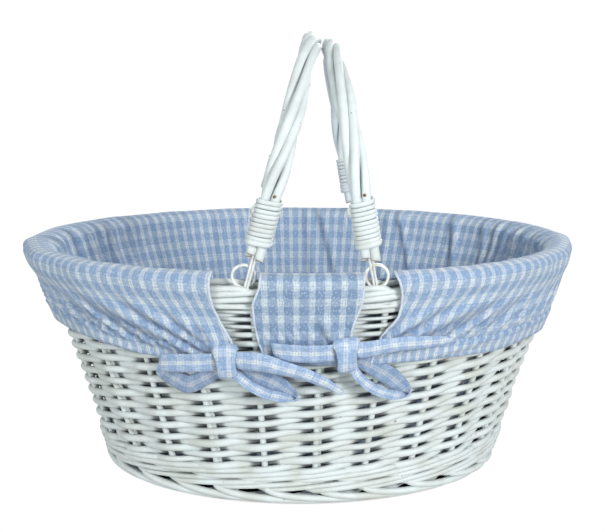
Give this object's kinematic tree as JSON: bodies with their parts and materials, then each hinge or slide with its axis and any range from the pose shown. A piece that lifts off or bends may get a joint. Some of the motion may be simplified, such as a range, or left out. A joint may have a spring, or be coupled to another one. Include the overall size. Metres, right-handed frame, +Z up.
{
  "type": "wicker picnic basket",
  "caption": "Oval white willow basket with a tied blue gingham liner and drop bail handles that lean together over the middle.",
  "frame": {"origin": "On the floor under the middle of the oval base.", "axes": "+Z up, X along the length of the oval, Y across its width with the front at -Y."},
  "size_m": [0.4468, 0.3286, 0.3578],
  "materials": {
    "willow": "white painted willow, satin",
    "handle_willow": "white painted willow rods, satin",
    "binding_cane": "white painted split cane, satin",
    "hinge_wire": "white plastic-coated steel wire",
    "nail": "small dull nail",
    "gingham": "blue and white woven gingham cotton",
    "bow_cloth": "ties of the same gingham"
  },
  "bodies": {
    "basket": {"back_flap": "gingham", "back_left_bow_knot": "bow_cloth", "back_left_bow_loops": "bow_cloth", "back_left_bow_tail": "bow_cloth", "back_right_bow_knot": "bow_cloth", "back_right_bow_loops": "bow_cloth", "back_right_bow_tail": "bow_cloth", "base_cross_sticks": "willow", "base_long_sticks": "willow", "base_weave": "willow", "border_core": "willow", "border_rod_inner_lower": "willow", "border_rod_inner_middle": "willow", "border_rod_inner_upper": "willow", "border_rod_outer_lower": "willow", "border_rod_outer_middle": "willow", "border_rod_outer_upper": "willow", "bye_stakes": "willow", "foot_border": "willow", "front_flap": "gingham", "front_left_bow_knot": "bow_cloth", "front_left_bow_loops": "bow_cloth", "front_left_bow_tail": "bow_cloth", "front_right_bow_knot": "bow_cloth", "front_right_bow_loops": "bow_cloth", "front_right_bow_tail": "bow_cloth", "left_back_hinge_ring": "hinge_wire", "left_cuff": "gingham", "left_front_hinge_ring": "hinge_wire", "liner_floor": "gingham", "liner_wall": "gingham", "right_back_hinge_ring": "hinge_wire", "right_cuff": "gingham", "right_front_hinge_ring": "hinge_wire", "side_weave": "willow", "stakes": "willow", "top_wale": "willow", "upsett_wale": "willow"},
    "left_handle": {"left_back_binding": "binding_cane", "left_back_link": "hinge_wire", "left_front_binding": "binding_cane", "left_front_link": "hinge_wire", "left_handle_nails": "nail", "left_handle_rod_1": "handle_willow", "left_handle_rod_2": "handle_willow", "left_handle_rod_3": "handle_willow", "left_handle_rod_4": "handle_willow"},
    "right_handle": {"right_back_binding": "binding_cane", "right_back_link": "hinge_wire", "right_front_binding": "binding_cane", "right_front_link": "hinge_wire", "right_handle_nails": "nail", "right_handle_rod_1": "handle_willow", "right_handle_rod_2": "handle_willow", "right_handle_rod_3": "handle_willow", "right_handle_rod_4": "handle_willow"}
  },
  "joints": [
    {"name": "left_handle_swing", "type": "hinge", "parent": "basket", "child": "left_handle", "pos_m": [-0.0397, 0, 0.1867], "axis": [0, -1, 0], "range_deg": [0, 79]},
    {"name": "right_handle_swing", "type": "hinge", "parent": "basket", "child": "right_handle", "pos_m": [0.0542, 0, 0.1863], "axis": [0, 1, 0], "range_deg": [0, 63]}
  ]
}
